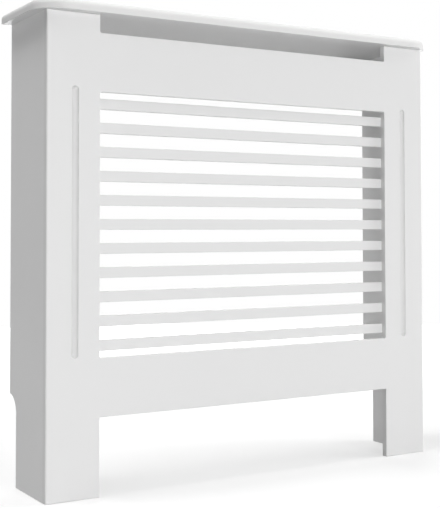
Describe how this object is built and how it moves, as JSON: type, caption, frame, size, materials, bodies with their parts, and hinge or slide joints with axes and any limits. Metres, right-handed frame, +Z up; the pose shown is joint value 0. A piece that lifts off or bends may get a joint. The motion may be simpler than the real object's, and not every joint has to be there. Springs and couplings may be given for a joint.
{
  "type": "radiator cover cabinet",
  "caption": "Free-standing radiator cover: a cabinet of white painted board with a slatted window, a warm-air slot, an open back and base, and a rounded shelf on top.",
  "frame": {"origin": "on the floor, under the middle of the overall bounding box", "axes": "+X to the right seen from the front, +Y from the slatted front towards the wall, +Z up"},
  "size_m": [0.826, 0.19, 0.82],
  "materials": {
    "white_paint": "satin white paint on medium-density fibreboard",
    "zinc_alloy": "die-cast zinc, dull",
    "plated_steel": "bright zinc plating",
    "beech": "bare fluted beech"
  },
  "bodies": {
    "root": {"top_shelf": "white_paint", "front_board": "white_paint", "side_panel_left": "white_paint", "side_panel_right": "white_paint", "rear_top_rail": "white_paint", "slat_01": "white_paint", "slat_02": "white_paint", "slat_03": "white_paint", "slat_04": "white_paint", "slat_05": "white_paint", "slat_06": "white_paint", "slat_07": "white_paint", "slat_08": "white_paint", "slat_09": "white_paint", "slat_10": "white_paint", "slat_11": "white_paint", "cam_nuts": "zinc_alloy", "cam_bolts": "plated_steel", "slat_screws": "plated_steel", "bracket_screws": "plated_steel", "wall_bracket_left": "plated_steel", "wall_bracket_right": "plated_steel", "wood_dowels": "beech"}
  },
  "joints": []
}
